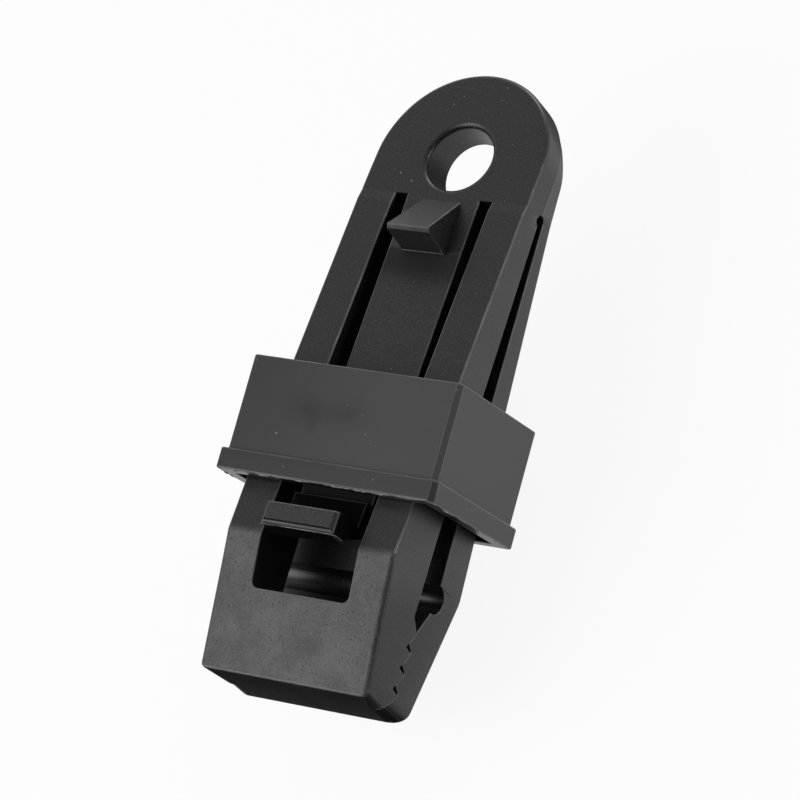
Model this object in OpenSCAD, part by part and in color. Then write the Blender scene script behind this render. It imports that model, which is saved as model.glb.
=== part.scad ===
// Tarp clip: a moulded body whose two toothed jaws and spring tongue bend at thin webs under the
// head, and a flanged collar that slides along the body and holds the jaws shut.
// The origin is the centre of the rope hole. X runs across the body, Y runs up to the head's round
// end, and Z points out of the front face. A "drop" is measured down from the rope hole's centre,
// an "out" forwards and a "back" backwards from the middle of the rope hole.

/* [Head] */
// Width of the body, from the head down to the jaw tips
body_w = 30; // [28:0.5:33]
// Radius of the rope hole
rope_hole_r = 5.5; // [3.5:0.25:6.5]
// Radius of the round on the rope hole's front rim
rope_rim_r = 0.9; // [0.3:0.1:1.2]
// Drop of the point that the head's round end is drawn from
crown_drop = 0.25; // [0:0.05:1]
// Front face of the head
face_out = 3.4; // [3:0.1:4.5]
// Back face of the head, behind the rope hole's centre
head_back = 3.45; // [3:0.1:4.5]

/* [Hinge webs] */
// Drop of the line where the head ends and the webs begin
hinge_drop = 6.95; // [6.8:0.05:7.6]
// Length of the webs that bend
web_len = 2.4; // [2:0.1:3]
// Back face at the hinge line
hinge_back = 4.6; // [4.3:0.1:5.5]
// Radius of the round end of the side gap
gap_end_r = 0.95; // [0.6:0.05:1.05]
// How far the round end's centre lies below the hinge line
gap_end_below = 0.15; // [0:0.05:0.4]
// Back of the round end's centre
gap_end_back = 1.2; // [1:0.1:1.5]

/* [Front jaw] */
// How far the rails stand in front of the head's face
face_step = 0.3; // [0.1:0.1:0.6]
// How far the front face leans back between the knee and the tip
nose_lean = 6.15; // [4:0.1:7]
// Radius of the knee, seen from the side
knee_round_r = 3; // [0.5:0.5:6]
// Radius of the front face's lower edge, seen from the side
nose_round_r = 0.7; // [0.3:0.1:1.5]
// Radius of the front jaw's lower corners, seen from the front
front_corner_r = 1.2; // [0.5:0.1:3]
// Width of each rail beside the tongue
rail_w = 6.35; // [5:0.05:6.8]
// Height of the window's open part, below the tongue's free end
window_open = 7.55; // [6:0.05:10]
// Radius of the window's lower corners
window_r = 1; // [0.5:0.1:2]
// Back of the rails at their top end
rail_top_back = 1.15; // [0.9:0.05:1.3]
// Back of the rails where the tarp channel begins
rail_low_back = 5.4; // [4.5:0.1:5.8]
// How far the front jaw's brow lies above the first tooth's point
brow_above = 1.6; // [1:0.1:2.5]
// How far the first tooth's point stands back from the brow
brow_step = 1.95; // [1.2:0.05:2.5]

/* [Rear jaw] */
// Front surface of the rear jaw at its top end
leaf_top_back = 2.55; // [2.4:0.05:2.8]
// Front surface of the rear jaw where the tarp channel begins
leaf_low_back = 9.6; // [9:0.1:10.2]
// Back face at the rear jaw's knee
heel_back = 17.1; // [16.5:0.1:18.5]
// How far the rear jaw's knee lies above the tongue's free end
heel_above = 1.85; // [0:0.05:3]
// Radius of the rear jaw's knee, seen from the side
heel_round_r = 4; // [1:0.5:8]
// Back face at the jaw tip
tip_back = 15; // [14.5:0.1:16]
// Radius of the rounded tip, seen from the side
tip_round_r = 2.4; // [1:0.1:3]
// Radius of the rear jaw's lower corners, seen from the front
rear_corner_r = 3; // [0.5:0.1:3.5]
// How much shorter the rear jaw is than the front jaw
rear_short = 0.4; // [0:0.1:1]
// Radius of the channel that holds the tarp's rolled edge
channel_r = 2.2; // [1.8:0.1:2.5]
// How far the channel's centre lies above the first tooth's point
channel_above = 6.1; // [5.6:0.1:6.4]
// How far the channel's centre lies behind the first tooth's point
channel_behind = 1.8; // [1.6:0.1:2.2]
// Length of the throat that opens from the side gap to the channel's centre
throat_len = 7.9; // [6:0.1:10]

/* [Teeth] */
// Number of teeth on the front jaw
tooth_count = 4; // [3:1:4]
// Distance from one tooth to the next
tooth_pitch = 3.25; // [3:0.05:3.4]
// How far the first tooth's point lies above the window's lower edge
tooth_above = 1; // [0.5:0.1:1.5]
// Length of the jaw tips below the last tooth's point
tooth_end = 3.65; // [3:0.05:6]
// Back of the first tooth's point
tooth_back = 8.9; // [8.7:0.1:9.2]
// How much further back each next tooth lies
tooth_step = 0.27; // [0:0.01:0.4]
// Height of a tooth, from its point to the root beside it
tooth_rise = 1.2; // [0.9:0.1:1.4]
// Length of a tooth's steep side along the jaw
tooth_steep = 0.3; // [0.1:0.05:0.6]
// Space left beside each steep side
tooth_relief = 0.65; // [0.4:0.05:0.9]
// Space between the two jaws' long tooth sides
tooth_gap = 0.12; // [0.08:0.02:0.2]

/* [Tongue] */
// Drop of the tongue's free end, which is level with the front jaw's knee
tongue_drop = 65.45; // [60:0.05:75]
// Width of the slot on each side of the tongue
slot_w = 2.15; // [1.5:0.05:2.5]
// Thickness of the tongue
tongue_t = 2.6; // [2:0.1:3]
// Front face of the tongue at its foot, before the foot's step
tongue_low_out = 1.15; // [0.8:0.05:1.6]
// Height of the foot above the latch tab
foot_h = 4.3; // [3:0.1:6]
// Front face of the foot
foot_out = 2.5; // [2:0.1:3]
// Thickness of the latch tab along the tongue
tab_h = 3.65; // [2:0.05:5]
// Front of the latch tab
tab_out = 8.6; // [7.5:0.1:9]
// How far the tab's front leans back towards its lower edge
tab_lean = 0.4; // [0:0.1:1]

/* [Nub] */
// How far the nub's ramp begins below the hinge line
nub_below = 0.65; // [0.4:0.05:2]
// Length of the nub along the tongue
nub_len = 8.95; // [7:0.05:10]
// How far the underside overhangs at the nub's point
nub_lean = 0.7; // [0.2:0.1:1]
// Front of the nub's point
nub_out = 9.5; // [9:0.1:10]
// Thickness of the nub's blunt point along the body
nub_blunt = 0.55; // [0.3:0.05:0.8]
// Width of the nub at the top of its ramp
nub_top_w = 6.6; // [5:0.1:7.4]
// Width of the nub at its underside
nub_w = 7.6; // [6:0.1:9]

/* [Collar] */
// Angle that the collar leans back from the body's face
collar_tilt = 9.3; // [8.5:0.1:10]
// Space between the flange and the latch tab, along the rails
tab_space = 4.95; // [3:0.05:6]
// Height of the collar above its flange
collar_h = 15; // [13:0.1:15.5]
// Height of the flange
flange_h = 3.3; // [2:0.1:3.5]
// How far the flange stands out
flange_out = 0.75; // [0.5:0.05:1.2]
// Wall thickness at the flange
collar_wall = 1.55; // [1.3:0.05:2]
// How much thinner the wall is at the upper end
collar_draft = 0; // [0:0.1:0.6]
// Width of the flat on the collar's upright edges, along each side
collar_edge = 0.6; // [0.2:0.1:1]
// Running clearance between the collar and the rails' face
collar_clear = 0.3; // [0.25:0.05:0.5]
// Play between the collar and the back of the shut jaws
collar_play = 2.05; // [1.9:0.05:3]
// Clearance between the collar and each side of the body
side_clear = 2.15; // [0.5:0.05:2.4]

/* [Hidden] */
$fn = 96;

// Overrun of every cut past the face that it leaves through
over = 1;
// Straight steps in the arc of a rounded corner of an outline
arc_steps = 8;
black = [0.13, 0.13, 0.135];
web_black = [0.2, 0.2, 0.205];

// Drops, from the head down to the jaw tips
jaw_drop = hinge_drop + web_len;
gap_end_drop = hinge_drop + gap_end_below;
nub_ramp_drop = hinge_drop + nub_below;
nub_drop = nub_ramp_drop + nub_len;
tab_drop = tongue_drop - tab_h;
foot_drop = tab_drop - foot_h;
knee_drop = tongue_drop;
heel_drop = tongue_drop - heel_above;
window_drop = tongue_drop + window_open;
tooth_drop = window_drop - tooth_above;
brow_drop = tooth_drop - brow_above;
channel_mid_drop = tooth_drop - channel_above;
channel_drop = channel_mid_drop - throat_len;
last_tooth = tooth_count - 1;
tip_drop = tooth_drop + last_tooth * tooth_pitch + tooth_end;
rear_tip_drop = tip_drop - rear_short;

// Depths and widths
rail_out = face_out + face_step;
nose_out = rail_out - nose_lean;
brow_back = tooth_back - brow_step;
channel_mid_back = tooth_back + channel_behind;
rail_in = body_w / 2 - rail_w;
tongue_w = 2 * (rail_in - slot_w);
back_slope = (hinge_back - head_back) / hinge_drop;
crown_rise = body_w / 2 - crown_drop;
rail_slope = (rail_low_back - rail_top_back) / (channel_drop - jaw_drop);
leaf_slope = (leaf_low_back - leaf_top_back) / (channel_drop - jaw_drop);
outer_slope = (heel_back - hinge_back) / (heel_drop - hinge_drop);
tongue_slope = (face_out - tongue_low_out) / (foot_drop - hinge_drop);

// Long side of a tooth: how much it comes forward for each unit of drop
flank_run = tooth_pitch - tooth_steep;
flank_slope = tooth_rise / flank_run;
// Drop and back of the point of tooth k of the front jaw
function point_drop(k) = tooth_drop + k * tooth_pitch;
function point_back(k) = tooth_back + k * tooth_step;
// Back of the long side that runs down from the point of tooth k
function flank_back(k, drop) = point_back(k) - (drop - point_drop(k)) * flank_slope;

// Back of the front jaw at a drop between the web and the tarp channel, and of the rear jaw's front
function rail_back(drop) = rail_top_back + (drop - jaw_drop) * rail_slope;
function leaf_back(drop) = leaf_top_back + (drop - jaw_drop) * leaf_slope;
// Back face of the body at a drop above the rear jaw's knee
function outer_back(drop) = hinge_back + (drop - hinge_drop) * outer_slope;
// Front face of the tongue at a drop above its foot
function tongue_out(drop) = face_out - (drop - hinge_drop) * tongue_slope;

// The collar in its own leaning axes: the flange's lower end stands tab_space above the tab, and
// there the opening clears the rails' face in front and the rear jaw's back face behind
lean_cos = cos(collar_tilt);
lean_sin = sin(collar_tilt);
flange_low = (tab_drop - tab_space) * lean_cos - rail_out * lean_sin;
collar_front = (rail_out + flange_low * lean_sin) / lean_cos + collar_clear;
back_drop = (flange_low - (hinge_back - hinge_drop * outer_slope) * lean_sin)
    / (lean_cos + lean_sin * outer_slope);
collar_rear = back_drop * lean_sin - outer_back(back_drop) * lean_cos - collar_play;
collar_depth = collar_front - collar_rear;
collar_in_w = body_w + 2 * side_clear;

// Points of the arc that rounds the corner b, between the sides towards a and towards c
function unit(v) = v / norm(v);
function rounded(a, b, c, r) =
    let (
        u = unit(a - b),
        w = unit(c - b),
        half = acos(u * w) / 2,
        middle = b + unit(u + w) * r / sin(half),
        from = b + u * r / tan(half) - middle,
        to = b + w * r / tan(half) - middle,
        start = atan2(from[1], from[0]),
        whole = atan2(to[1], to[0]) - start,
        turn = whole > 180 ? whole - 360 : whole < -180 ? whole + 360 : whole
    )
    [for (i = [0 : arc_steps]) middle + r * [cos(start + turn * i / arc_steps), sin(start + turn * i / arc_steps)]];

// A side outline, as [along Y, along Z] points, carried across a width about the middle plane
module across(width) {
    rotate([90, 0, 90]) linear_extrude(height = width, center = true) children();
}

// A front outline carried through the whole depth of the body
module through_depth() {
    translate([0, 0, -heel_back - over])
        linear_extrude(height = heel_back + nub_out + 2 * over) children();
}

// Front outline of a jaw that ends at a drop: straight sides and rounded lower corners
module jaw_outline(end_drop, corner_r) {
    side = body_w / 2 - corner_r;
    union() {
        translate([-body_w / 2, corner_r - end_drop]) square([body_w, end_drop]);
        translate([-side, -end_drop]) square([2 * side, end_drop]);
        for (s = [-1, 1]) translate([s * side, corner_r - end_drop]) circle(r = corner_r);
    }
}

// Round end of the side gap, cut right across
module gap_end() {
    across(body_w + 2 * over) translate([-gap_end_drop, -gap_end_back]) circle(r = gap_end_r);
}

// Ring that rounds the rope hole's front rim when it is cut away
module rope_rim() {
    translate([0, 0, face_out - rope_rim_r])
        rotate_extrude()
            difference() {
                square([rope_hole_r + rope_rim_r, rope_rim_r + over]);
                translate([rope_hole_r + rope_rim_r, 0]) circle(r = rope_rim_r);
            }
}

module head() {
    color(black)
        difference() {
            intersection() {
                across(body_w)
                    polygon([
                        [-hinge_drop, face_out],
                        [-hinge_drop, -hinge_back],
                        [crown_rise + over, (crown_rise + over) * back_slope - head_back],
                        [crown_rise + over, face_out]
                    ]);
                through_depth() {
                    translate([0, -crown_drop]) circle(r = body_w / 2);
                    translate([-body_w / 2, -hinge_drop - over])
                        square([body_w, hinge_drop + over - crown_drop]);
                }
            }
            through_depth() circle(r = rope_hole_r);
            rope_rim();
            gap_end();
        }
}

// The two webs that the front jaw's rails bend on
module front_webs() {
    color(web_black)
        for (s = [-1, 1])
            translate([s * (rail_in + rail_w / 2), 0, 0])
                difference() {
                    across(rail_w)
                        polygon([
                            [-hinge_drop, rail_out],
                            [-jaw_drop, rail_out],
                            [-jaw_drop, -rail_top_back],
                            [-hinge_drop, -rail_back(hinge_drop)]
                        ]);
                    gap_end();
                }
}

// The web that the rear jaw bends on
module rear_web() {
    color(web_black)
        difference() {
            across(body_w)
                polygon([
                    [-hinge_drop, -leaf_back(hinge_drop)],
                    [-jaw_drop, -leaf_top_back],
                    [-jaw_drop, -outer_back(jaw_drop)],
                    [-hinge_drop, -hinge_back]
                ]);
            gap_end();
        }
}

// The web that the tongue springs from
module tongue_web() {
    color(web_black)
        across(tongue_w)
            polygon([
                [-hinge_drop, face_out],
                [-jaw_drop, tongue_out(jaw_drop)],
                [-jaw_drop, tongue_out(jaw_drop) - tongue_t],
                [-hinge_drop, face_out - tongue_t]
            ]);
}

// Side outline of the front jaw: rail, knee, nose and the toothed underside
module front_jaw_side() {
    // Each tooth is its point and the root below its long side
    teeth = [
        for (k = [0 : last_tooth - 1], p = [0, 1])
            p == 0
            ? [-point_drop(k), -point_back(k)]
            : [-point_drop(k) - flank_run, -flank_back(k, point_drop(k) + flank_run)]
    ];
    top = [-jaw_drop, rail_out];
    knee = [-knee_drop, rail_out];
    nose = [-tip_drop, nose_out];
    heel = [-tip_drop, -flank_back(last_tooth, tip_drop)];
    polygon(concat(
        [
            top,
            [-jaw_drop, -rail_top_back],
            [-channel_drop, -rail_low_back],
            [-brow_drop, -brow_back]
        ],
        teeth,
        [[-point_drop(last_tooth), -point_back(last_tooth)], heel],
        rounded(heel, nose, knee, nose_round_r),
        rounded(nose, knee, top, knee_round_r)
    ));
}

// The opening between the rails, which ends in the window's rounded lower edge
module window() {
    side = rail_in - window_r;
    translate([-rail_in, window_r - window_drop]) square([2 * rail_in, window_drop]);
    translate([-side, -window_drop]) square([2 * side, window_drop]);
    for (s = [-1, 1]) translate([s * side, window_r - window_drop]) circle(r = window_r);
}

module front_jaw() {
    color(black)
        difference() {
            intersection() {
                across(body_w) front_jaw_side();
                through_depth() jaw_outline(tip_drop, front_corner_r);
            }
            through_depth() window();
        }
}

// Side outline of the rear jaw: leaf, tarp channel, teeth, rounded tip and knee
module rear_jaw_side() {
    // The long sides lie one gap behind the front jaw's, and each steep side one relief above it
    teeth = [
        for (k = [0 : last_tooth - 1], p = [0, 1])
            let (drop = point_drop(k) + flank_run - tooth_relief)
            p == 0
            ? [-drop, -flank_back(k, drop) - tooth_gap]
            : [-drop - tooth_relief, -flank_back(k + 1, drop + tooth_relief) - tooth_gap]
    ];
    mouth_drop = channel_mid_drop + channel_r;
    top = [-jaw_drop, -outer_back(jaw_drop)];
    heel = [-heel_drop, -heel_back];
    tip = [-rear_tip_drop, -tip_back];
    inner_tip = [-rear_tip_drop, -flank_back(last_tooth, rear_tip_drop) - tooth_gap];
    difference() {
        polygon(concat(
            [
                [-jaw_drop, -leaf_top_back],
                [-channel_drop, -leaf_low_back],
                [-channel_mid_drop + channel_r, -channel_mid_back],
                [-mouth_drop, -flank_back(0, mouth_drop) - tooth_gap]
            ],
            teeth,
            [inner_tip],
            rounded(inner_tip, tip, heel, tip_round_r),
            rounded(tip, heel, top, heel_round_r),
            [top]
        ));
        translate([-channel_mid_drop, -channel_mid_back]) circle(r = channel_r);
    }
}

module rear_jaw() {
    color(black)
        intersection() {
            across(body_w) rear_jaw_side();
            through_depth() jaw_outline(rear_tip_drop, rear_corner_r);
        }
}

// Side outline of the tongue with its foot and latch tab
module tongue_side() {
    polygon([
        [-jaw_drop, tongue_out(jaw_drop)],
        [-jaw_drop, tongue_out(jaw_drop) - tongue_t],
        [-foot_drop, tongue_low_out - tongue_t],
        [-tongue_drop, tongue_low_out - tongue_t],
        [-tongue_drop, tab_out - tab_lean],
        [-tab_drop, tab_out],
        [-tab_drop, foot_out],
        [-foot_drop, foot_out],
        [-foot_drop, tongue_low_out]
    ]);
}

// Wedge that stops the collar: a ramp from above and a steep underside
module nub() {
    intersection() {
        across(nub_w)
            polygon([
                [-nub_ramp_drop, face_out],
                [nub_lean + nub_blunt - nub_drop, nub_out],
                [nub_lean - nub_drop, nub_out - nub_blunt],
                [-nub_drop, tongue_out(nub_drop) - tongue_t],
                [-jaw_drop, tongue_out(jaw_drop) - tongue_t],
                [-jaw_drop, face_out]
            ]);
        through_depth()
            polygon([
                [-nub_top_w / 2, -nub_ramp_drop],
                [-nub_w / 2, -nub_drop],
                [nub_w / 2, -nub_drop],
                [nub_top_w / 2, -nub_ramp_drop]
            ]);
    }
}

module tongue() {
    color(black)
        union() {
            across(tongue_w) tongue_side();
            nub();
        }
}

// Cross-section of the collar: a rectangle with its corners cut flat
module collar_section(width, depth) {
    half_w = width / 2;
    half_d = depth / 2;
    polygon([
        for (q = [[1, 1], [-1, 1], [-1, -1], [1, -1]], p = [0, 1])
            (p == 0) == (q[0] * q[1] > 0)
            ? [q[0] * half_w, q[1] * (half_d - collar_edge)]
            : [q[0] * (half_w - collar_edge), q[1] * half_d]
    ]);
}

module collar() {
    outer_w = collar_in_w + 2 * collar_wall;
    outer_depth = collar_depth + 2 * collar_wall;
    color(black)
        rotate([collar_tilt, 0, 0])
            translate([0, -flange_low, (collar_front + collar_rear) / 2])
                rotate([-90, 0, 0])
                    difference() {
                        union() {
                            linear_extrude(height = flange_h)
                                collar_section(outer_w + 2 * flange_out, outer_depth + 2 * flange_out);
                            hull() {
                                linear_extrude(height = flange_h)
                                    collar_section(outer_w, outer_depth);
                                translate([0, 0, flange_h + collar_h - collar_edge])
                                    linear_extrude(height = collar_edge)
                                        collar_section(
                                            outer_w - 2 * collar_draft,
                                            outer_depth - 2 * collar_draft
                                        );
                            }
                        }
                        translate([-collar_in_w / 2, -collar_depth / 2, -over])
                            cube([collar_in_w, collar_depth, flange_h + collar_h + 2 * over]);
                    }
}

head();
front_webs();
front_jaw();
rear_web();
rear_jaw();
tongue_web();
tongue();
collar();
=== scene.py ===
"""Tarp clip in black moulded plastic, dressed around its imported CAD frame.

The axes are the CAD's: X across the body, Y up to the head's round end, Z out of the front face,
and the origin at the centre of the rope hole. The shape functions work in millimetres.
"""

import math

import bmesh
import bpy
import numpy as np
from bpy.props import FloatProperty, FloatVectorProperty, PointerProperty
from mathutils import Matrix, Vector


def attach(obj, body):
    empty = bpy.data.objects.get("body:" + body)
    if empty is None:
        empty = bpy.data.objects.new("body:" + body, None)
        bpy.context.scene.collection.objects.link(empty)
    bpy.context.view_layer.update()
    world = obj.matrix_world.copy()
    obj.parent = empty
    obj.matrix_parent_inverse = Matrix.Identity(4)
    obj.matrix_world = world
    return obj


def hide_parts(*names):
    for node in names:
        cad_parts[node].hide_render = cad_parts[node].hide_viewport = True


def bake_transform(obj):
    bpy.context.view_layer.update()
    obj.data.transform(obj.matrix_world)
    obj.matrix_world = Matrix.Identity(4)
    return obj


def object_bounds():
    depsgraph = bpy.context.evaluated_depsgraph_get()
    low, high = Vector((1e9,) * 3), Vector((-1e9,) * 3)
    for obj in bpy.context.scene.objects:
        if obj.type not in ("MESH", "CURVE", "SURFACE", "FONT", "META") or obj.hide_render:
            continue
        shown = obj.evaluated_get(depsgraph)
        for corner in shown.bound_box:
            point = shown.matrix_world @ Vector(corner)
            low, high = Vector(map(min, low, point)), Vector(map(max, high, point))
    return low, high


bl_info = {
    "name": "Tarp Clip",
    "version": (1, 0, 0),
    "blender": (4, 5, 0),
    "location": "View3D > Sidebar > Tarp Clip",
    "description": "Builds a moulded tarp clip with toothed jaws, a spring tongue and a sliding collar",
    "category": "Object",
}

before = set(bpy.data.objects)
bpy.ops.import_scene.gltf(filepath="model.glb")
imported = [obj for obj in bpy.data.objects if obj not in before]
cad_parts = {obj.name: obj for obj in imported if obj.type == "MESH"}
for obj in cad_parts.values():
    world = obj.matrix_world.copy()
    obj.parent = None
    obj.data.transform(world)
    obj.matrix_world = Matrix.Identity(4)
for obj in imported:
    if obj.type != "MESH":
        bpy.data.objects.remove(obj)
CAD_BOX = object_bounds()
MM = 0.001

# Body in millimetres; points of the side outlines are (Y, Z)
BODY_HALF = 15.0
FACE_Z = 3.4
HINGE_Y = -6.95
TOOTH_STEP = (-3.25, -0.27)
TOOTH_ROUND = 0.12
INNER_EDGE = 0.18

# Head, with the side gap's round end
CROWN_Y = -0.254
HOLE_R = 5.5
HOLE_BACK_ROUND = 0.4
BACK_Z = -3.45
BACK_SLOPE = 0.16482
LOW_EDGE = 0.2
BACK_EDGE = 0.3
EDGE_GROWTH = 14.0
CROWN_DRAW = 0.28
DRAW_GROWTH = 5.0
PARTING_Z = -1.23
PARTING_OVER_BACK = 0.35
GAP_Y = -7.1
GAP_Z = -1.2
GAP_R = 0.95
GAP_END_Y = -8.0

# Front jaw
END_Y = -85.4
RAIL_Z = 3.7
RAIL_RISE = 1.7
RAIL_RISE_ROUND = 4.0
RAIL_IN = 8.65
KNEE_Y = -65.45
KNEE_ROUND = 3.0
NOSE_Z = -2.45
NOSE_EDGE = 0.85
NOSE_EDGE_START = 4.0
NOSE_EDGE_GROWTH = 6.0
FRONT_CORNER = 1.1
DEEP_CORNER = 3.0
WINDOW_Y = -73.0
WINDOW_ROUND = 1.0
WINDOW_CLEAR = 0.4
RAIL_BACK = [(-8.05, -1.02), (-58.0, -5.4), (-70.4, -6.95)]
RAIL_BACK_ROUNDS = [0, 1.0, 0.4]
FRONT_TIP = (-72.0, -8.9)
FRONT_VALLEY = (-74.95, -7.7)
FRONT_GRIP_END_Z = -8.22

# Rear jaw
REAR_END_Y = -85.0
REAR_CORNER = 2.6
LEAF_TOP_Z = -2.202
LEAF = [(-58.0, -9.6), (-63.69, -10.65)]
LEAF_ROUND = 1.0
CHANNEL = (-65.9, -10.7)
CHANNEL_R = 2.2
CHANNEL_STEP = 0.01
GRIP_START = (-68.12, -10.6)
REAR_TIP = (-74.3, -8.08)
REAR_VALLEY = (-74.95, -9.41)
REAR_GRIP_END_Z = -8.5
REAR_BACK_TOP_Z = -4.6
REAR_KNEE = (-63.6, -17.1)
REAR_KNEE_ROUND = 4.0
REAR_BACK_END_Z = -15.04
REAR_TIP_ROUND = 2.4
REAR_TIP_CLEAR = 2.3
REAR_TIP_Z = -14.97
REAR_TIP_END_Z = -12.5

# Tongue; the slant behind the latch tab is a guess, because the photograph hides it
TONGUE_HALF = 6.5
TONGUE_CORNER = 0.6
TONGUE_EDGE = 0.2
FOOT_Y = -57.5
TONGUE_FRONT = [(FOOT_Y, 1.15), (-57.56, 2.5), (-61.72, 2.5), (-61.8, 8.6), (KNEE_Y, 8.2)]
TONGUE_ROUNDS = [0.25, 0.2, 0.3, 0.35, 0]
TONGUE_TOP_BACK_Z = 0.8
TONGUE_BACK = [(FOOT_Y, -1.45), (-61.4, -1.45), (-64.6, 4.2), (KNEE_Y, 4.4)]
TAB_EDGE = 0.9
TAB_EDGE_Y = -61.75
TAB_FRONT_Z = 7.5
FACES_FRONT = 0.3

# Nub: a ramp, a blunt point and a steep underside
NUB_HALF = 3.3
NUB_SPREAD = 0.5
NUB_CORNER = 0.3
NUB_BACK_EDGE = 0.1
NUB_FRONT = [(-7.45, 3.25), (-15.3, 9.5), (-15.85, 8.95), (-16.5, 3.05), (-16.62, 1.9)]
NUB_ROUNDS = [0, 0.2, 0.2, 0.3, 0]
NUB_BACK_Z = 1.7

# Collar, in its own axes; it lies a little askew in its play, as in the photograph
LEAN = math.radians(9.3)
COLLAR_TURN = math.radians(1.2)
COLLAR_LIFT = 0.2
FLANGE_LOW = -55.4997
FLANGE_H = 3.3
FLANGE_OUT = 0.75
COLLAR_H = 15.0
COLLAR_WALL = 1.55
OPEN_HALF = 16.8
OPEN_BACK = -7.9
OPEN_FRONT = 13.14
FLANGE_FILLET = 0.35
OPEN_EDGES = (0.2, 0.25)
# Flat and round of the corners inside, and how much more each has outside: front right, front
# left, back left and back right
CORNER_INSIDE = 0.15
CORNER_FLATS = (0.65, 0.1, 0.1, 0.1)
CORNER_ROUNDS = (0.1, 0.5, 0.15, 0.15)

# Moulding flash: sunk into the edge by its root, with a thin tip in shares of its thickness
FLASH_ROOT = 0.05
FLASH_TIP_SHARES = (0.2, 0.5)
# Steps between random heights and the power of each, for the broad and the fine raggedness
RAGGED_RUNS = ((11, 1.6), (2, 0.6))
COLLAR_FLASH_IN = 0.12
COLLAR_FLASH_BACK = 0.4
COLLAR_FLASH_SIDE = 6.0
COLLAR_FLASH_CORNER = 0.8
COLLAR_FLASH_STEPS = 420
COLLAR_FLASH_HEIGHTS = (0.03, 0.42)
COLLAR_FLASH_THICK = 0.18
COLLAR_FLASH_SEED = 11
# The tab's flash runs out at the right into a thin thread
TAB_FLASH = [(-6.3, KNEE_Y, 8.15), (5.9, KNEE_Y, 8.15), (7.2, KNEE_Y - 0.1, 8.0), (8.4, KNEE_Y - 0.6, 7.7)]
TAB_FLASH_STEPS = 80
TAB_FLASH_THREAD = 66
TAB_FLASH_END_SHARE = 0.3
TAB_FLASH_HEIGHTS = (0.04, 0.2)
TAB_FLASH_THICK = 0.12
TAB_FLASH_SEED = 5
TAB_FLASH_OUT = (0.0, -1.0, 0.05)

# Mesh: points merged and edges dropped below these lengths in metres, and the sharpest smooth angle
MERGE = 2e-7
DROP = 1e-8
SMOOTH_ANGLE = math.radians(38)
FACE_WEIGHT = 100
TINY = 1e-6
SAME_ROW = 1e-3
FAR = 99.0
FLIP = np.array([-1.0, 1.0])
# Largest share of a side that the round at its end takes up
MOST_OF_SIDE = 0.48
# Bend of the surface, in radians a metre, from which an edge counts as worn and gets a painted highlight,
# and fully so
WEAR_AND_HIGHLIGHT_FROM = 1300.0
WEAR_AND_HIGHLIGHT_FULL = 2400.0
TINY_AREA = 1e-12

# Marks in the plastic, and painted light and shade; a mark fades between the two places of its pair, in
# millimetres
GRAIN_SCALE = 3800.0
BUMP_DEPTH = 0.03 * MM
PIT_DEPTH = 2.5
LINE_WIDTH = (0.05, 0.16)
BEHIND_LINE = (-0.3, 0.0)
HEAD_START = (HINGE_Y + 0.3, HINGE_Y + 1.5)
ROUND_HOLE = (9.0, 10.0)
NOSE_START = (KNEE_Y - 0.2, KNEE_Y + 1.2)
WELD_SLANT = 0.252
WELD_X = -21.17
WELD_WIDTH = (0.03, 0.14)
WELD_END = (-80.0, -74.0)
# Painted shade on the tongue: at its foot in the collar's shade, and below the nub, where its shadow falls
FOOT_SHADE_Y = (-54.0, -50.0)
FOOT_SHADE_Z = (3.0, 5.5)
NUB_SHADOW_LOW = (-24.0, -18.5)
NUB_SHADOW_TOP = (-16.5, -15.5)
# Across the collar: its colour is painted lighter towards the right, as painted light
COLLAR_LIT_SIDES = (-19.0, 12.0)
FLANGE_FADE = 0.1
# Middle of the collar's painted reflection cloud in metres, and how quickly it ends each way
PAINTED_SHEEN_AT = (0.0015, -0.0462, 0.0077)
PAINTED_SHEEN_SHAPE = (95.0, 140.0, 40.0)

# Stage: the floor lies below the clip, so that the rear jaw opens above it
FLOOR_GAP = 6.5
FLOOR_HALF = 3.0
FLOOR_WHITE = 0.9
CARD_LIFT = 0.02
# Grey glowing cards on the floor, a painted shadow of the floor round the clip, which only reflections show:
# left, right, lower and upper side
JAW_SHADOW_CARD = (-90.0, 40.0, -190.0, -86.5)
HEAD_SHADOW_CARD = (-60.0, 17.0, 6.0, 90.0)
SIDE_SHADOW_CARD = (22.0, 120.0, -95.0, -60.0)
# Side of the surroundings that is palest, and how their white horizon rises behind the head
SKY_SIDE = (-0.72, 0.6, 0.35)
HORIZON_RISE = (0.0, 0.35, -1.0)
# Lamps: direction from the object's middle, side length, and the setting with their power
LAMPS = {
    "Main lamp": ((-0.5, -0.5, 0.7), 0.42, "key_power"),
    "Head lamp": ((-0.05, 0.95, 0.22), 0.22, "head_power"),
    "Edge lamp": ((0.93, 0.3, 0.08), 0.22, "edge_power"),
}
LAMP_DISTANCE = 0.6
LAMP_AIM = (0.0, -0.035, 0.0)
# Camera fitted to the photograph
LENS = 180.05
SENSOR = 36.0
CLIP = (0.01, 10.0)
CAMERA_AT = (0.32811, -0.23398, 0.46024)
CAMERA_RIGHT = (0.83033, 0.33879, -0.44247)
CAMERA_UP = (-0.11733, 0.88247, 0.45551)
CAMERA_BACK = (0.54478, -0.32631, 0.77249)


# Surfaces


def grid_quads(rows, columns, wrap_rows=False, wrap_columns=False):
    """Quads of a grid of points, row by row; a wrapped side joins its last line to its first."""
    index = np.arange(rows * columns).reshape(rows, columns)
    if wrap_rows:
        index = np.vstack([index, index[:1]])
    if wrap_columns:
        index = np.hstack([index, index[:, :1]])
    return np.stack([index[:-1, :-1], index[1:, :-1], index[1:, 1:], index[:-1, 1:]], -1).reshape(-1, 4)


def read(items, name, width=1, kind=float):
    """One value, or one row of values, from each item of a mesh."""
    values = np.empty(len(items) * width, kind)
    items.foreach_get(name, values)
    return values.reshape(-1, width) if width > 1 else values


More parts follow.
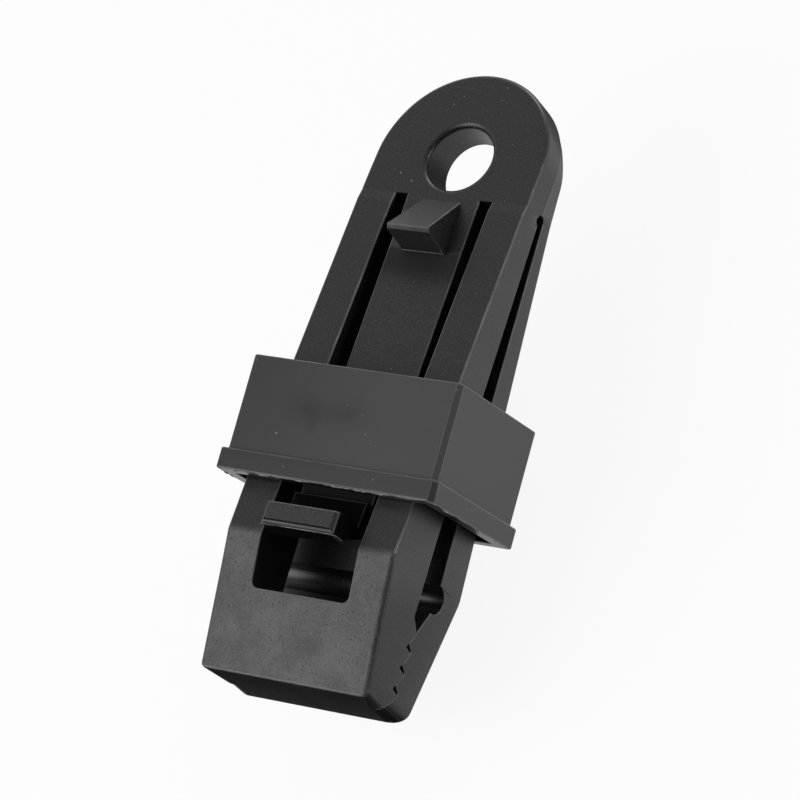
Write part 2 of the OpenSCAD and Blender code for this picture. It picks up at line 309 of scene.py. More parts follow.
def mark_faces(mesh):
    """Keeps two values on each face: how worn its edge is, with a painted highlight along it, and how far it
    turns to the front.

    The first value is 1 on a tightly rounded outward edge and 0 on a flat face; the materials paint it pale,
    as worn plastic and as a painted highlight along the edge. It comes from the bend of the surface across
    the face's two most turned sides: the smaller of their angles over the face's own width. The other value
    is the Z part of the face's normal.
    """
    faces = mesh.polygons
    normals = read(faces, "normal", 3)
    centres = read(faces, "center", 3)
    sides = read(faces, "loop_total", kind=int)
    points = read(mesh.vertices, "co", 3)
    ends = read(mesh.edges, "vertices", 2, int)
    length = np.linalg.norm(points[ends[:, 0]] - points[ends[:, 1]], axis=1)
    face_of_loop = np.repeat(np.arange(len(faces)), sides)
    by_edge = np.argsort(read(mesh.loops, "edge_index", kind=int), kind="stable")
    first, second = face_of_loop[by_edge].reshape(-1, 2).T
    turn = np.arccos(np.clip((normals[first] * normals[second]).sum(1), -1, 1))
    outward = ((centres[second] - centres[first]) * normals[first]).sum(1) < 0
    bends = np.tile(np.where(outward, turn, 0) * length, 2)
    order = np.lexsort((bends, np.concatenate([first, second])))
    bend = bends[order][np.cumsum(sides) - 2] / np.maximum(read(faces, "area"), TINY_AREA)
    wear = np.clip((bend - WEAR_AND_HIGHLIGHT_FROM) / (WEAR_AND_HIGHLIGHT_FULL - WEAR_AND_HIGHLIGHT_FROM), 0, 1)
    mesh.attributes.new("wear", "FLOAT", "FACE").data.foreach_set("value", wear)
    mesh.attributes.new("front", "FLOAT", "FACE").data.foreach_set("value", normals[:, 2])


class Shell:
    """Collects grids and flat faces, then joins them into one closed mesh."""

    def __init__(self):
        self.points = []
        self.faces = []
        self.count = 0

    def grid(self, points, wrap_rows=False, wrap_columns=False, keep=None):
        """Adds a grid of points in millimetres; keep drops the cells that are false."""
        rows, columns = points.shape[:2]
        quads = grid_quads(rows, columns, wrap_rows, wrap_columns)
        if keep is not None:
            quads = quads[keep.ravel()]
        self.faces.extend((quads + self.count).tolist())
        self.points.append(points.reshape(-1, 3))
        self.count += rows * columns

    def face(self, *points):
        """Adds one flat face through these rows of points in order."""
        points = np.vstack(points)
        self.faces.append(list(range(self.count, self.count + len(points))))
        self.points.append(points)
        self.count += len(points)

    def build(self, name):
        """Merges the grids' shared lines, closes flat ends and returns the finished object."""
        mesh = bpy.data.meshes.new(name)
        mesh.from_pydata((np.vstack(self.points) * MM).tolist(), [], self.faces)
        work = bmesh.new()
        work.from_mesh(mesh)
        bmesh.ops.remove_doubles(work, verts=work.verts, dist=MERGE)
        bmesh.ops.dissolve_degenerate(work, edges=work.edges, dist=DROP)
        loose = [v for v in work.verts if not v.link_faces]
        bmesh.ops.delete(work, geom=loose, context="VERTS")
        open_edges = [e for e in work.edges if e.is_boundary]
        if open_edges:
            bmesh.ops.holes_fill(work, edges=open_edges, sides=0)
        bmesh.ops.recalc_face_normals(work, faces=work.faces)
        bad = sum(not e.is_manifold for e in work.edges)
        if work.calc_volume(signed=True) < 0:
            bmesh.ops.reverse_faces(work, faces=work.faces)
        work.to_mesh(mesh)
        work.free()
        if bad:
            raise RuntimeError(f"{name} has {bad} edges that don't close")
        mark_faces(mesh)
        mesh.shade_smooth()
        mesh.set_sharp_from_angle(angle=SMOOTH_ANGLE)
        piece = bpy.data.objects.new(name, mesh)
        bpy.context.scene.collection.objects.link(piece)
        shading = piece.modifiers.new("Flat faces stay flat", "WEIGHTED_NORMAL")
        shading.weight = FACE_WEIGHT
        shading.keep_sharp = True
        return piece


def smooth(value):
    """Value held between 0 and 1, with a smooth start and end."""
    share = np.clip(value, 0, 1)
    return share * share * (3 - 2 * share)


def rounded_chain(points, radii, steps=5):
    """Chain of 2-D points whose corners become arcs: each arc touches both sides of its corner."""
    pts = np.asarray(points, float)
    share = np.linspace(0, 1, steps + 1)[:, None]
    chain = []
    for i, radius in enumerate(radii):
        corner = pts[i]
        if radius <= 0:
            chain.append(corner[None])
            continue
        to_last = pts[i - 1] - corner
        to_next = pts[(i + 1) % len(pts)] - corner
        reach = min(np.linalg.norm(to_last), np.linalg.norm(to_next))
        to_last /= np.linalg.norm(to_last)
        to_next /= np.linalg.norm(to_next)
        half = math.acos(float(np.clip(to_last @ to_next, -1, 1))) / 2
        cut = min(radius / math.tan(half), MOST_OF_SIDE * reach)
        radius = cut * math.tan(half)
        inward = to_last + to_next
        middle = corner + inward / np.linalg.norm(inward) * radius / math.sin(half)
        start = corner + to_last * cut - middle
        end = corner + to_next * cut - middle
        first = math.atan2(start[1], start[0])
        turn = (math.atan2(end[1], end[0]) - first + math.pi) % (2 * math.pi) - math.pi
        angle = first + turn * share
        chain.append(middle + radius * np.hstack([np.cos(angle), np.sin(angle)]))
    return np.vstack(chain)


def tooth_row(first, second, count):
    """Corners of a toothed edge: two for each tooth, and each tooth one step on from the last."""
    steps = np.arange(count)[:, None] * TOOTH_STEP
    return np.stack([first + steps, second + steps], 1).reshape(-1, 2)


def along(chain, y):
    """Z of a side outline at each Y, between the outline's own points."""
    order = np.argsort(chain[:, 0], kind="stable")
    return np.interp(y, chain[order, 0], chain[order, 1])


def corner_rows(end_y, radius, count=6):
    """Y of evenly turned points on the quarter circle of a lower corner."""
    return end_y + radius + radius * np.sin(np.radians(np.linspace(0, -90, count + 1)))


def quarter(steps=4):
    """Sine and versed cosine of the turns through a rounded edge, from the face to the wall."""
    angle = np.linspace(0, math.pi / 2, steps + 1)
    return np.sin(angle), 1 - np.cos(angle)


def edge_sweep(outline, normal, round_front, round_back, front, back):
    """Wall of a plate, carried along its outline.

    At each outline point the profile turns from the front face through a quarter circle to the
    wall, and through a second quarter circle to the back face.
    """
    out, drop = quarter()
    halves = []
    for rounds, chain, turn, away in (
        (round_front[:, None], front, out, -drop),
        (round_back[:, None], back, out[::-1], drop[::-1]),
    ):
        base = outline - normal * rounds
        xy = base[:, None] + normal[:, None] * (rounds * turn)[..., None]
        z = along(chain, base[:, 1])[:, None] + rounds * away
        halves.append(np.concatenate([xy, z[..., None]], -1))
    return np.concatenate(halves, 1)


def corner_outline(y, half, round_r, end_y):
    """Right side of a plate: straight, then a quarter circle into its lower end.

    Returns the outline point and its outward normal at each Y.
    """
    down = np.clip((end_y + round_r - y) / round_r, 0, 1)
    right = np.sqrt(1 - down * down)
    return np.stack([half - round_r + round_r * right, y], -1), np.stack([right, -down], -1)


def merge_rows(*groups):
    """All the Y values in falling order, without near repeats."""
    y = np.sort(np.concatenate(groups))[::-1]
    return y[np.concatenate([[True], -np.diff(y) > SAME_ROW])]


def both_sides(right, middle):
    """Rows down the right side, then across the lower end, then mirrored up the left side."""
    return np.vstack([right, middle, right[::-1] * FLIP])


def round_path(rounds, count):
    """Edge rounds for the rows of both sides, with this many across the lower end."""
    return np.concatenate([rounds, np.full(count, rounds[-1]), rounds[::-1]])


def plate(name, front, back, half, corner_r, round_front, round_back, spread=0.0):
    """Plate between a front and a back side outline, with rounded edges and lower corners.

    The two faces are grids of rows along Y and columns across X, and the wall is the edge profile
    carried down the right side, across the lower end and up the left side. The spread is how much
    wider each half is at the lower end.
    """
    top_y = front[:, 0].max()
    end_y = front[:, 0].min()
    y = merge_rows(front[:, 0], back[:, 0], corner_rows(end_y, corner_r))
    y = y[(y <= top_y) & (y >= end_y)]
    line, normal = corner_outline(y, half + spread * (top_y - y) / (top_y - end_y), corner_r, end_y)
    rf = round_front(y) if callable(round_front) else np.full(len(y), round_front)
    rb = np.full(len(y), round_back)
    spans = np.linspace(-1, 1, 7)
    shell = Shell()
    for rounds, chain in ((rf, front), (rb, back)):
        edge = line - normal * rounds[:, None]
        rows = np.repeat(edge[:, 1:], len(spans), 1)
        shell.grid(np.stack([edge[:, :1] * spans, rows, along(chain, rows)], -1))
    across = line[-1, 0] * spans[::-1][1:-1]
    low = np.stack([across, np.full_like(across, end_y)], -1)
    facing = both_sides(normal, np.tile([0.0, -1.0], (len(low), 1)))
    path_rf = round_path(rf, len(low))
    path_rb = round_path(rb, len(low))
    shell.grid(edge_sweep(both_sides(line, low), facing, path_rf, path_rb, front, back))
    return shell.build(name)


# Side outlines of the pieces


def front_jaw_outlines():
    """Side outlines of the front jaw: front face with its knee, and toothed underside.

    The underside starts with the side gap's round end, a circle about its centre.
    """
    front = rounded_chain(
        [(HINGE_Y, FACE_Z), (HINGE_Y - RAIL_RISE, RAIL_Z), (KNEE_Y, RAIL_Z), (END_Y, NOSE_Z)],
        [0, RAIL_RISE_ROUND, KNEE_ROUND, 0],
        steps=8,
    )
    gap_y = np.linspace(HINGE_Y, GAP_END_Y, 9)
    gap_z = GAP_Z + np.sqrt(GAP_R**2 - (gap_y - GAP_Y) ** 2)
    teeth = tooth_row(FRONT_TIP, FRONT_VALLEY, 4)[:-1]
    under = rounded_chain(
        [*RAIL_BACK, *teeth, (END_Y, FRONT_GRIP_END_Z)],
        RAIL_BACK_ROUNDS + [TOOTH_ROUND] * len(teeth) + [0],
        steps=3,
    )
    return front, np.vstack([np.stack([gap_y, gap_z], -1), under])


def rear_jaw_outlines():
    """Side outlines of the rear jaw: leaf, tarp channel and teeth, and the back with its knee."""
    turn = np.radians(np.linspace(0, 180, 13))
    channel = CHANNEL + CHANNEL_R * np.stack([np.cos(turn), -np.sin(turn)], -1)
    channel[0, 0] -= CHANNEL_STEP
    teeth = tooth_row(REAR_TIP, REAR_VALLEY, 3)
    leaf = rounded_chain([(HINGE_Y, LEAF_TOP_Z), *LEAF], [0, LEAF_ROUND, 0], steps=3)
    grip = rounded_chain(
        [GRIP_START, *teeth, (REAR_END_Y, REAR_GRIP_END_Z)],
        [0] + [TOOTH_ROUND] * len(teeth) + [0],
        steps=3,
    )
    back = rounded_chain(
        [(HINGE_Y, REAR_BACK_TOP_Z), REAR_KNEE, (REAR_END_Y, REAR_BACK_END_Z)],
        [0, REAR_KNEE_ROUND, 0],
        steps=8,
    )
    tip_turn = np.radians(np.linspace(8, 88, 8))
    tip_y = REAR_END_Y + REAR_TIP_ROUND * (1 - np.sin(tip_turn))
    tip_z = REAR_TIP_Z + REAR_TIP_ROUND * (1 - np.cos(tip_turn))
    back = back[back[:, 0] > REAR_END_Y + REAR_TIP_CLEAR]
    back = np.vstack([back, np.stack([tip_y, tip_z], -1), [REAR_END_Y, REAR_TIP_END_Z]])
    return np.vstack([leaf, channel, grip]), back


def tongue_outlines():
    """Side outlines of the tongue with its foot and latch tab."""
    front = rounded_chain([(HINGE_Y, FACE_Z), *TONGUE_FRONT], [0, *TONGUE_ROUNDS], steps=4)
    return front, np.array([(HINGE_Y, TONGUE_TOP_BACK_Z), *TONGUE_BACK])


def tongue_edge(y):
    """Round on the tongue's front edges: small along the tongue, and wider on the latch tab."""
    return np.where(y < TAB_EDGE_Y, TAB_EDGE, TONGUE_EDGE)


def nub_outlines():
    """Side outlines of the nub, down into the tongue."""
    front = rounded_chain(NUB_FRONT, NUB_ROUNDS, steps=4)
    return front, np.array([(NUB_FRONT[0][0], NUB_BACK_Z), (NUB_FRONT[-1][0], NUB_BACK_Z)])


# Shells of the pieces


def head_back(y):
    """Z of the head's sloping back at each Y."""
    return BACK_Z + BACK_SLOPE * y


def head_outline():
    """Outline of the head, from its lower right corner over the crown to its lower left corner.

    It is where a ray from the hole's centre meets the straight sides or the crown circle. Returns
    the rays' angles, the outline points and their outward normals.
    """
    corner = math.atan2(HINGE_Y, BODY_HALF)
    shoulder = math.atan2(CROWN_Y, BODY_HALF)
    right = np.linspace(corner, shoulder, 6)
    crown = np.linspace(shoulder, math.pi - shoulder, 61)[1:]
    left = np.linspace(math.pi - shoulder, math.pi - corner, 6)[1:]
    side = np.concatenate([right, crown, left])
    ux, uy = np.cos(side), np.sin(side)
    reach = uy * CROWN_Y + np.sqrt(BODY_HALF**2 - (ux * CROWN_Y) ** 2)
    circle = np.stack([ux, uy], -1) * reach[:, None]
    straight = np.stack([np.sign(ux) * BODY_HALF, np.tan(side) * np.sign(ux) * BODY_HALF], -1)
    on_side = (circle[:, 1] < CROWN_Y + TINY)[:, None]
    line = np.where(on_side, straight, circle)
    line[0] = [BODY_HALF, HINGE_Y]
    line[-1] = [-BODY_HALF, HINGE_Y]
    radial = (line - [0, CROWN_Y]) / BODY_HALF
    return side, line, np.where(on_side, np.stack([np.sign(ux), 0 * ux], -1), radial)


def head_shell(name, rim_round, edge_round):
    """Head: closed rings about the rope hole, an edge profile round the crown and a plain lower end.

    The rings run from the front outline over the hole's rim, down its wall and out to the back
    outline.
    """
    side, line, normal = head_outline()
    low = np.linspace(side[-1], 2 * math.pi + side[0], 33)[1:-1]
    low_line = np.stack([HINGE_Y / np.tan(low), np.full_like(low, HINGE_Y)], -1)
    rf = LOW_EDGE + (edge_round - LOW_EDGE) * smooth((line[:, 1] - HINGE_Y) / EDGE_GROWTH)
    rb = np.full_like(rf, BACK_EDGE)
    line_b = line - normal * (CROWN_DRAW * smooth((line[:, 1] - CROWN_Y) / DRAW_GROWTH))[:, None]

    angles = np.concatenate([side, low])
    ring = np.stack([np.cos(angles), np.sin(angles)], -1)
    out, drop = quarter(6)
    front_r = HOLE_R + rim_round - rim_round * out
    back_r = HOLE_R + HOLE_BACK_ROUND * (1 - out[::-1])
    hole_xy = ring[:, None] * np.concatenate([front_r, back_r])[None, :, None]
    front_z = np.tile(FACE_Z - rim_round * drop, (len(ring), 1))
    back_z = head_back(hole_xy[:, len(out):, 1]) + HOLE_BACK_ROUND * drop[::-1]
    hole = np.concatenate([hole_xy, np.concatenate([front_z, back_z], 1)[..., None]], -1)
    edge_f = np.vstack([line - normal * rf[:, None], low_line])
    edge_b = np.vstack([line_b - normal * rb[:, None], low_line])
    face_f = np.concatenate([edge_f, np.full((len(edge_f), 1), FACE_Z)], 1)
    face_b = np.concatenate([edge_b, head_back(edge_b[:, 1:])], 1)
    shell = Shell()
    shell.grid(np.concatenate([face_f[:, None], hole, face_b[:, None]], 1), wrap_rows=True)

    # The wall draws in a little behind the parting line
    flat = np.array([(-FAR, FACE_Z), (FAR, FACE_Z)])
    rear = np.array([(-FAR, head_back(-FAR)), (FAR, head_back(FAR))])
    upper = np.split(edge_sweep(line, normal, rf, rb, flat, rear), 2, axis=1)[0]
    lower = np.split(edge_sweep(line_b, normal, rf, rb, flat, rear), 2, axis=1)[1]
    shell.grid(upper)
    shell.grid(lower)
    crown = line[:, 1] >= CROWN_Y - TINY
    top, wall = upper[crown, -1], lower[crown, 0]
    parting_z = np.maximum(PARTING_Z, wall[:, 2:] + PARTING_OVER_BACK)
    shell.grid(np.stack([top, np.concatenate([line[crown], parting_z], 1), wall], 1))

    # Lower end: a flat face, the side gap's round end and a second flat face
    first = math.atan2(HINGE_Y - GAP_Y, math.sqrt(GAP_R**2 - (HINGE_Y - GAP_Y) ** 2))
    turn = np.linspace(first, math.pi - first, 13)
    notch = np.stack([GAP_Y + GAP_R * np.sin(turn), GAP_Z + GAP_R * np.cos(turn)], -1)
    notch[[0, -1], 0] = HINGE_Y
    ends = [np.insert(notch, 0, x, axis=1) for x in (BODY_HALF, -BODY_HALF)]
    strip = np.stack(ends, 1)
    shell.grid(strip)
    shell.face(upper[-1, ::-1], face_f[len(line):], upper[0], strip[0])
    shell.face(lower[0], face_b[len(line):][::-1], lower[-1, ::-1], strip[-1, ::-1])
    return shell.build(name)


def front_jaw_shell(name, edge_round, nose_round):
    """Front jaw: two rails and a nose plate around the window, between two side outlines.

    The faces are one grid of four columns with the window's cells left out. One edge profile runs
    round the outside and one round the window, each as carried along its outline.
    """
    front, back = front_jaw_outlines()
    corners = (corner_rows(END_Y, FRONT_CORNER), corner_rows(END_Y, DEEP_CORNER, 9))
    y = merge_rows(front[:, 0], back[:, 0], *corners, corner_rows(WINDOW_Y, WINDOW_ROUND))
    y = y[(y >= WINDOW_Y - TINY) | (y <= WINDOW_Y - WINDOW_CLEAR)]
    line, normal = corner_outline(y, BODY_HALF, FRONT_CORNER, END_Y)
    line_b, normal_b = corner_outline(y, BODY_HALF, DEEP_CORNER, END_Y)
    on_nose = smooth((KNEE_Y + NOSE_EDGE_START - y) / NOSE_EDGE_GROWTH)
    rf = edge_round + (NOSE_EDGE - edge_round) * on_nose
    rf = rf + (nose_round - rf) * np.clip(-normal[:, 1], 0, 1) ** 2
    rb = np.full(len(y), INNER_EDGE)
    last = int(np.argmin(np.abs(y - WINDOW_Y)))
    inner, to_window = corner_outline(y, RAIL_IN, WINDOW_ROUND, WINDOW_Y)
    to_window = -to_window
    below = np.arange(len(y)) > last
    inner[below, 0] = RAIL_IN - WINDOW_ROUND
    window_rf = np.full(len(y), edge_round)
    keep = np.ones((len(y) - 1, 3), bool)
    keep[:last, 1] = False
    low = np.array([[RAIL_IN - WINDOW_ROUND, END_Y], [WINDOW_ROUND - RAIL_IN, END_Y]])
    path_rf = round_path(rf, 2)
    path_rb = round_path(rb, 2)
    shell = Shell()
    walls = []
    sides = ((line, normal, rf, window_rf, front), (line_b, normal_b, rb, rb, back))
    for outer, outer_normal, outer_r, inner_r, chain in sides:
        edge = outer - outer_normal * outer_r[:, None]
        hole = inner - np.where(below, 0, inner_r)[:, None] * to_window
        hole[below, 1] = edge[below, 1]
        xy = np.stack([edge * FLIP, hole * FLIP, hole, edge], 1)
        shell.grid(np.concatenate([xy, along(chain, xy[..., 1])[..., None]], -1), keep=keep)
        facing = both_sides(outer_normal, [[0, -1]] * 2)
        wall = edge_sweep(both_sides(outer, low), facing, path_rf, path_rb, front, back)
        walls.append(np.split(wall, 2, axis=1))
    shell.grid(np.concatenate([walls[0][0], walls[1][1]], 1))
    nothing = np.empty((0, 2))
    path = both_sides(inner[: last + 1], nothing)
    facing = both_sides(to_window[: last + 1], nothing)
    path_rf = np.full(len(path), edge_round)
    path_rb = np.full(len(path), INNER_EDGE)
    shell.grid(edge_sweep(path, facing, path_rf, path_rb, front, back))
    return shell.build(name)


def collar_loop(half_x, half_z, flat, soft, steps=4):
    """Closed rectangle with flattened corners, for each profile point.

    Each corner is a flat of the given size whose two ends turn through arcs of the given radius.
    """
    lean = math.tan(math.pi / 8)
    turn = np.linspace(0, math.pi / 4, steps + 1)
    parts = []
    for (sx, sz), cut, radius in zip(((1, 1), (-1, 1), (-1, -1), (1, -1)), flat, soft):
        arc = radius[:, None]
        tight = half_x - radius, half_z - radius
        short = half_x - cut - radius * lean, half_z - cut - radius * lean
        x1 = tight[0][:, None] + arc * np.cos(turn)
        z1 = short[1][:, None] + arc * np.sin(turn)
        x2 = short[0][:, None] + arc * np.cos(turn + math.pi / 4)
        z2 = tight[1][:, None] + arc * np.sin(turn + math.pi / 4)
        part = np.stack([np.hstack([x1, x2]) * sx, np.hstack([z1, z2]) * sz], -1)
        parts.append(part[:, ::-1] if sx * sz < 0 else part)
    return np.concatenate(parts, 1)


def lean_back(points):
    """Turns points from the collar's own axes into the body's: askew in its play, then leaning."""
    c, s = math.cos(COLLAR_TURN), math.sin(COLLAR_TURN)
    x = points[..., 0] * c + points[..., 2] * s
    y = points[..., 1]
    z = points[..., 2] * c - points[..., 0] * s + COLLAR_LIFT
    c, s = math.cos(LEAN), math.sin(LEAN)
    return np.stack([x, y * c - z * s, y * s + z * c], -1)


def collar_shell(name, edge_round):
    """Collar: a closed wall profile with its flange, carried round a rectangle with flat corners."""
    top = FLANGE_H + COLLAR_H
    reach = COLLAR_WALL + FLANGE_OUT
    low_edge, top_edge = OPEN_EDGES
    chain = rounded_chain(
        [(0, 0), (reach, 0), (reach, FLANGE_H), (COLLAR_WALL, FLANGE_H), (COLLAR_WALL, top), (0, top)],
        [low_edge, edge_round, edge_round, FLANGE_FILLET, edge_round, top_edge],
        steps=4,
    )
    offset, height = chain[:, 0], chain[:, 1]
    share = np.clip(offset / COLLAR_WALL, 0, 1)
    flat = [CORNER_INSIDE + more * share for more in CORNER_FLATS]
    soft = [CORNER_INSIDE + more * share for more in CORNER_ROUNDS]
    loop = collar_loop(OPEN_HALF + offset, (OPEN_FRONT - OPEN_BACK) / 2 + offset, flat, soft)
    y = np.broadcast_to((FLANGE_LOW + height)[:, None], loop.shape[:2])
    z = loop[..., 1] + (OPEN_FRONT + OPEN_BACK) / 2
    shell = Shell()
    shell.grid(lean_back(np.stack([loop[..., 0], y, z], -1)), wrap_rows=True, wrap_columns=True)
    return shell.build(name)


def ragged(count, low, high, seed):
    """Ragged height along a path: broad and fine random steps multiplied, so that most of it is low."""
    source = np.random.default_rng(seed)
    share = np.ones(count)
    for run, power in RAGGED_RUNS:
        steps = source.random(count // run + 2)
        where = np.linspace(0, len(steps) - 1, count)
        share *= np.interp(where, np.arange(len(steps)), steps) ** power
    return low + (high - low) * share


def flash_strip(name, path, out, side, height, thick):
    """Ragged fin of moulding flash along an edge: a narrow four-sided section carried on a path.

    Its foot has the given thickness, and its thinner tip lies at the given height from the path.
    """
    near, far = (path + out * height[:, None] - side * thick * share for share in FLASH_TIP_SHARES)
    root = path - out * FLASH_ROOT
    shell = Shell()
    shell.grid(np.stack([root - side * thick, root, near, far], 1), wrap_columns=True)
    return shell.build(name)


def bent_path(points, count):
    """Evenly spaced points along a broken line."""
    pts = np.asarray(points, float)
    run = np.concatenate([[0], np.cumsum(np.linalg.norm(np.diff(pts, axis=0), axis=1))])
    where = np.linspace(0, run[-1], count)
    return np.stack([np.interp(where, run, pts[:, i]) for i in range(3)], -1)


def collar_flash(name):
    """Flash on the flange's lower edge, along its front and its right side."""
    reach = COLLAR_WALL + FLANGE_OUT
    half = OPEN_HALF + reach - COLLAR_FLASH_IN
    front = OPEN_FRONT + reach - COLLAR_FLASH_IN
    back = OPEN_BACK - reach + COLLAR_FLASH_BACK
    low = FLANGE_LOW + FLASH_ROOT
    cut = COLLAR_FLASH_CORNER
    corners = [(-half, low, front - COLLAR_FLASH_SIDE), (-half, low, front - cut), (-half + cut, low, front)]
    corners += [(half - cut, low, front), (half, low, front - cut), (half, low, back)]
    path = bent_path(corners, COLLAR_FLASH_STEPS)
    outward = np.tile([0.0, -1.0, 0.0], (len(path), 1))
    inward = path - [0.0, low, (front + back) / 2]
    inward = inward / np.linalg.norm(inward, axis=1)[:, None]
    height = ragged(len(path), *COLLAR_FLASH_HEIGHTS, COLLAR_FLASH_SEED)
    path, outer, inner = lean_back(np.stack([path, path + outward, path + inward]))
    return flash_strip(name, path, outer - path, inner - path, height, COLLAR_FLASH_THICK)


def tab_flash(name):
    """Flash on the latch tab's lower edge, which runs out at the right into a thin curved thread."""
    path = bent_path(TAB_FLASH, TAB_FLASH_STEPS)
    count = len(path)
    out = np.tile(TAB_FLASH_OUT, (count, 1))
    side = np.tile([0.0, 0.0, 1.0], (count, 1))
    fade = np.interp(np.arange(count), [0, TAB_FLASH_THREAD, count - 1], [1, 1, TAB_FLASH_END_SHARE])
    height = ragged(count, *TAB_FLASH_HEIGHTS, TAB_FLASH_SEED) * fade
    return flash_strip(name, path, out, side, height, TAB_FLASH_THICK)


# Shader nodes


def feed(tree, socket, value):
    """Links a source to an input, or sets the input's own value."""
    if isinstance(value, bpy.types.NodeSocket):
        tree.links.new(value, socket)
    elif socket.type == "RGBA":
        socket.default_value = (*value[:3], 1.0)
    else:
        socket.default_value = value


def node(tree, kind, values=None, **settings):
    """Adds a node, sets its fields and feeds its inputs."""
    made = tree.nodes.new(kind)
    for key, value in settings.items():
        setattr(made, key, value)
    for key, value in (values or {}).items():
        feed(tree, made.inputs[key], value)
    return made


def math_node(tree, operation, *values, **settings):
    """Joins values or sockets with one sum."""
    made = node(tree, "ShaderNodeMath", dict(enumerate(values)), operation=operation, **settings)
    return made.outputs[0]


def times(tree, first, *others):
    """Product of values or sockets."""
    for other in others:
        first = math_node(tree, "MULTIPLY", first, other)
    return first


def ramp(tree, source, low, high, out_low=0.0, out_high=1.0):
    """Maps a value from one range to another with a smooth start and end."""
    values = {"Value": source, "From Min": low, "From Max": high, "To Min": out_low, "To Max": out_high}
    return node(tree, "ShaderNodeMapRange", values, interpolation_type="SMOOTHSTEP").outputs["Result"]


def fade_between(tree, source, places, out_low=0.0, out_high=1.0):
    """Ramp between two places in millimetres."""
    return ramp(tree, source, places[0] * MM, places[1] * MM, out_low, out_high)


def mix_colour(tree, share, a, b):
    """Mixes two colours by a mask."""
    return node(tree, "ShaderNodeMix", {0: share, 6: a, 7: b}, data_type="RGBA").outputs[2]


def mix_value(tree, share, a, b):
    """Mixes two values by a mask."""
    return node(tree, "ShaderNodeMix", {0: share, 2: a, 3: b}, data_type="FLOAT").outputs[0]


def vector_node(tree, operation, *values):
    """Joins vectors or sockets with one sum, and returns its outputs."""
    return node(tree, "ShaderNodeVectorMath", dict(enumerate(values)), operation=operation).outputs


def distance_along(tree, source, way):
    """How far a vector goes along a direction."""
    return vector_node(tree, "DOT_PRODUCT", source, way)["Value"]


def noise(tree, vector, scale, **values):
    """Noise at a scale, as one value."""
    return node(tree, "ShaderNodeTexNoise", {"Vector": vector, "Scale": scale, **values}).outputs["Fac"]


def axes(tree, coords):
    """X, Y and Z of the coordinates."""
    return node(tree, "ShaderNodeSeparateXYZ", {0: coords}).outputs


def attribute(tree, name):
    """Value that the mesh keeps on its faces under a name."""
    return node(tree, "ShaderNodeAttribute", attribute_name=name).outputs["Fac"]


def dots(tree, vector, scale, largest, share):
    """Scattered dots of uneven size: distance, size, whether each is there, and a chance of its own."""
    cells = node(tree, "ShaderNodeTexVoronoi", {"Vector": vector, "Scale": scale, "Randomness": 1.0})
    chance = node(tree, "ShaderNodeSeparateColor", {0: cells.outputs["Color"]}).outputs
    there = math_node(tree, "LESS_THAN", chance[0], share)
    return cells.outputs["Distance"], times(tree, chance[1], largest), there, chance[2]


def new_group(name, numbers, results):
    """Starts a node group that takes a vector and numbers, and gives out numbers."""
    group = bpy.data.node_groups.new(name, "ShaderNodeTree")
    group.interface.new_socket("Vector", in_out="INPUT", socket_type="NodeSocketVector")
    for label, number in numbers.items():
        socket = group.interface.new_socket(label, in_out="INPUT", socket_type="NodeSocketFloat")
        socket.default_value = number
    for label in results:
        group.interface.new_socket(label, in_out="OUTPUT", socket_type="NodeSocketFloat")
    inside = group.nodes.new("NodeGroupInput").outputs
    return group, inside, group.nodes.new("NodeGroupOutput").inputs


def grain_group(name):
    """Fine uneven grain of a moulded surface, as a height and a speckle."""
    group, inside, out = new_group(name, {"Scale": 3500.0}, ("Height", "Speckle"))
    fine = noise(group, inside["Vector"], inside["Scale"], Detail=2.0, Roughness=0.6)
    feed(group, out["Height"], fine)
    feed(group, out["Speckle"], ramp(group, fine, 0.35, 0.68))
    return group


def cloud_group(name):
    """Broad cloudy change across a surface, from 0 to 1."""
    group, inside, out = new_group(name, {"Scale": 120.0}, ("Cloud",))
    broad = noise(group, inside["Vector"], inside["Scale"], Detail=3.0, Roughness=0.55, Distortion=0.6)
    feed(group, out["Cloud"], ramp(group, broad, 0.3, 0.7))
    return group


def dust_group(name):
    """Sparse pale specks and short fine scratches, as one mask."""
    group, inside, out = new_group(name, {"Specks": 0.06, "Scratches": 0.5}, ("Mask",))
    vector = inside["Vector"]
    distance, size, there, chance = dots(group, vector, 850.0, 0.13, inside["Specks"])
    pale = times(group, chance, 0.9)
    specks = times(group, math_node(group, "LESS_THAN", distance, size), there, pale)
    values = {"Vector": vector, "Rotation": (0.0, 0.0, 0.7), "Scale": (90.0, 1500.0, 700.0)}
    stretched = node(group, "ShaderNodeMapping", values).outputs[0]
    hair = ramp(group, noise(group, stretched, 1.0, Detail=1.0), 0.74, 0.8)
    patch = ramp(group, noise(group, vector, 160.0, Detail=1.0), 0.56, 0.64)
    lines = times(group, hair, patch, inside["Scratches"])
    feed(group, out["Mask"], math_node(group, "ADD", specks, lines, use_clamp=True))
    return group


def pits_group(name):
    """Fine dark pits scattered over a satin surface, as one mask."""
    group, inside, out = new_group(name, {"Scale": 2600.0, "Share": 0.85}, ("Pits",))
    distance, size, there, _ = dots(group, inside["Vector"], inside["Scale"], 0.34, inside["Share"])
    near = ramp(group, math_node(group, "SUBTRACT", distance, size), -0.02, 0.08, 1.0, 0.0)
    feed(group, out["Pits"], times(group, near, there))
    return group


EFFECTS = {
    "Moulded grain": grain_group,
    "Cloudy sheen": cloud_group,
    "Dust and scratches": dust_group,
    "Fine pits": pits_group,
}


def place(tree, name, coords, **values):
    """Places one of the shared effects, made the first time, and returns its outputs."""
    group = bpy.data.node_groups.get(name) or EFFECTS[name](name)
    return node(tree, "ShaderNodeGroup", {"Vector": coords, **values}, node_tree=group).outputs


# Materials


def shade(colour, share):
    """Colour made darker or lighter."""
    return tuple(share * v for v in colour)


